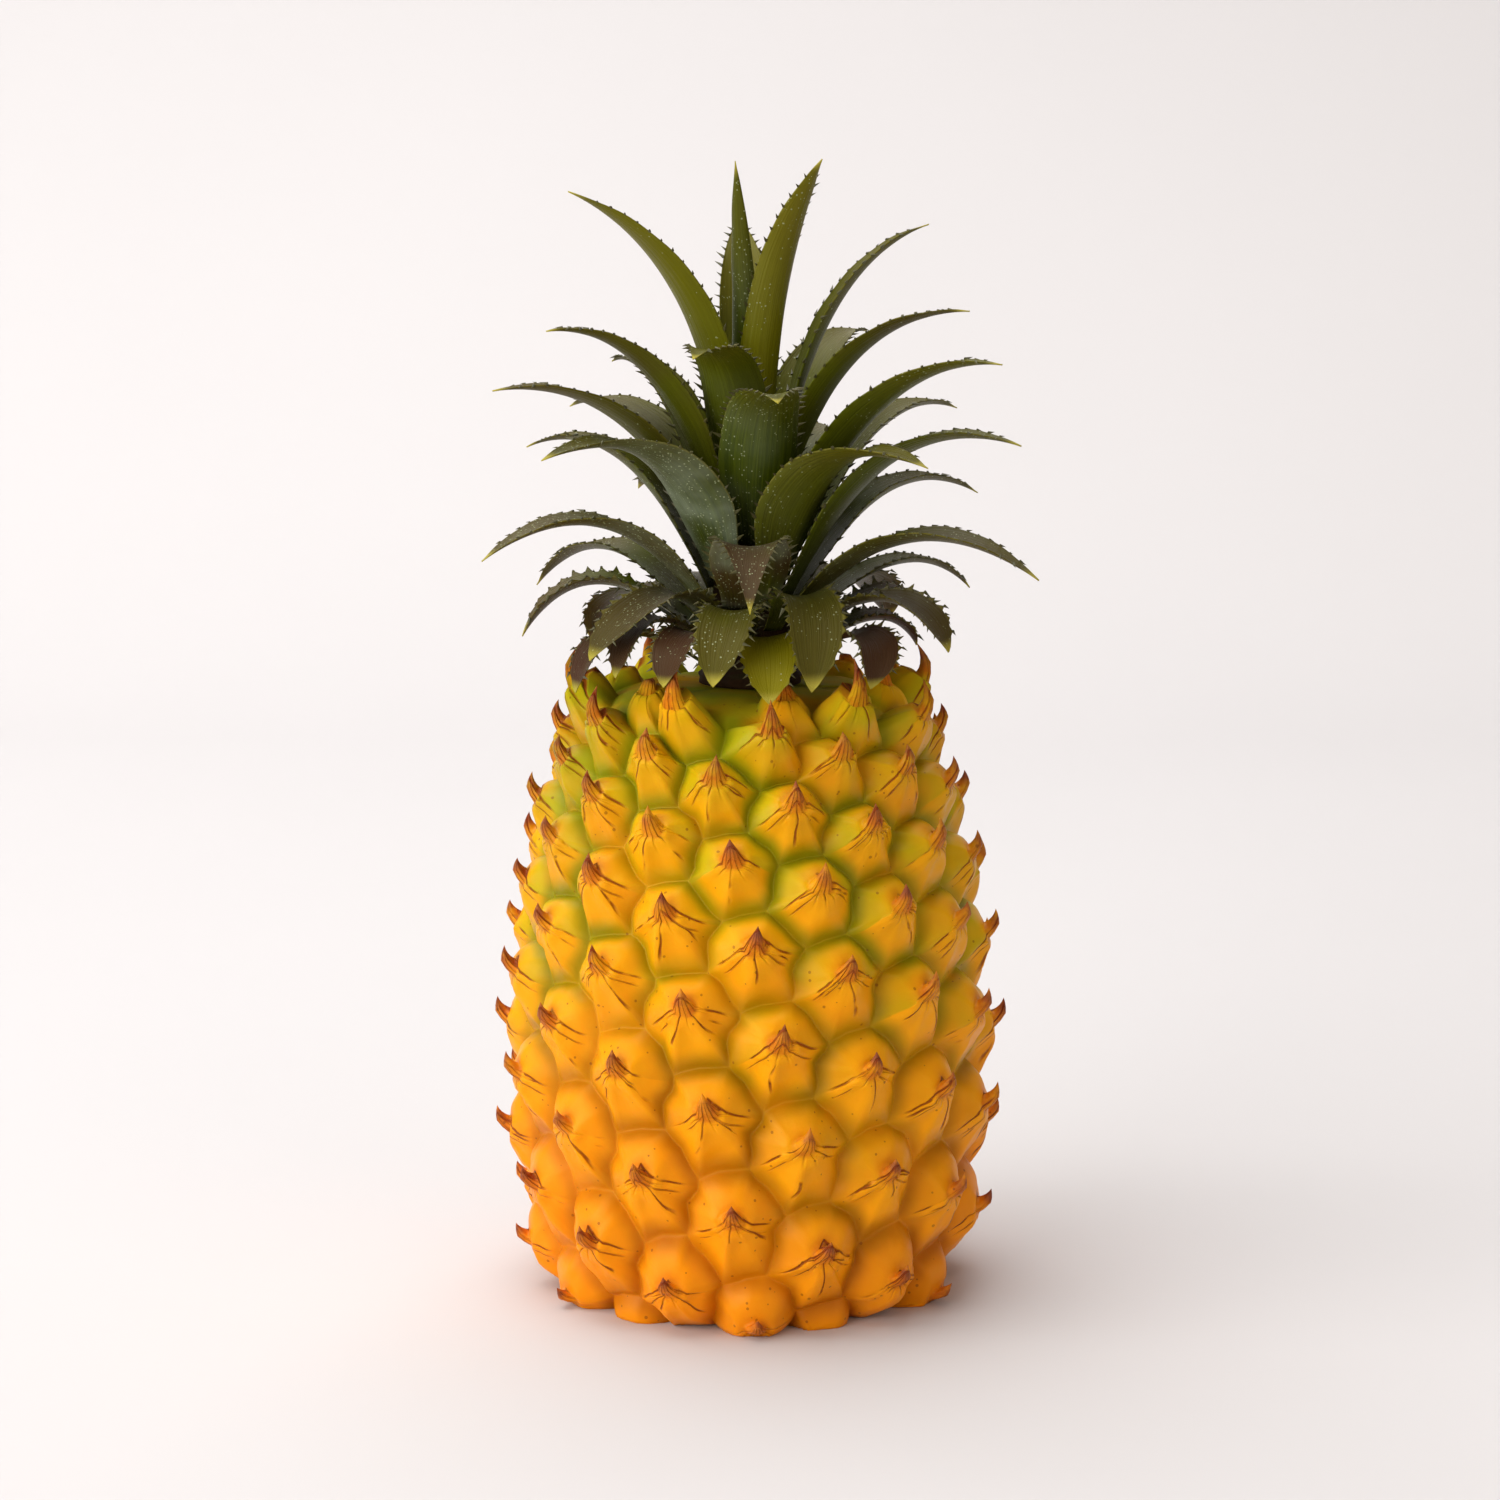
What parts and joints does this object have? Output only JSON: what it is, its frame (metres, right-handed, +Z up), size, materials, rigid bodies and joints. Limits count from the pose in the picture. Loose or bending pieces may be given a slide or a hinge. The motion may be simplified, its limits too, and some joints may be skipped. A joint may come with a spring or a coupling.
{
  "type": "pineapple",
  "caption": "Upright pineapple with hooked eyes all over its skin and a crown of channelled, spined leaves; stands on a small flat foot.",
  "frame": {"origin": "middle of the flat foot that the fruit stands on", "axes": "+Z up through the fruit and its crown, -Y towards the viewer"},
  "size_m": [0.1432, 0.137, 0.2993],
  "materials": {
    "skin": "satin, green-yellow in the grooves, orange at the foot",
    "leaf": "satin, dark green with a pale bloom",
    "stem": "matte, dark brown"
  },
  "bodies": {
    "root": {"fruit": "skin", "crown_stem": "stem", "leaf_spear": "leaf", "leaf_top_right_broad": "leaf", "leaf_top_left": "leaf", "leaf_top_right": "leaf", "leaf_top_back": "leaf", "leaf_high_front": "leaf", "leaf_high_left": "leaf", "leaf_high_right": "leaf", "leaf_high_back_right": "leaf", "leaf_high_back_left": "leaf", "leaf_mid_front": "leaf", "leaf_mid_right": "leaf", "leaf_mid_left": "leaf", "leaf_mid_back_right": "leaf", "leaf_mid_back": "leaf", "leaf_mid_back_left": "leaf", "leaf_wide_left": "leaf", "leaf_wide_right": "leaf", "leaf_wide_far_right": "leaf", "leaf_wide_far_left": "leaf", "leaf_wide_back": "leaf", "leaf_wide_back_right": "leaf", "leaf_wide_back_left": "leaf", "leaf_low_left": "leaf", "leaf_low_right": "leaf", "leaf_low_front": "leaf", "leaf_low_far_right": "leaf", "leaf_low_back": "leaf", "leaf_low_back_left": "leaf", "leaf_hanging_front_left": "leaf", "leaf_hanging_front_right": "leaf", "leaf_hanging_left": "leaf", "leaf_hanging_right": "leaf", "leaf_hanging_far_right": "leaf", "leaf_hanging_back_right": "leaf", "leaf_hanging_back": "leaf", "leaf_hanging_back_left": "leaf", "leaf_skirt_left": "leaf", "leaf_skirt_front_left": "leaf", "leaf_skirt_front": "leaf", "leaf_skirt_far_left": "leaf", "leaf_skirt_near_left": "leaf", "leaf_skirt_near_right": "leaf", "leaf_skirt_right": "leaf", "leaf_skirt_back": "leaf"}
  },
  "joints": []
}
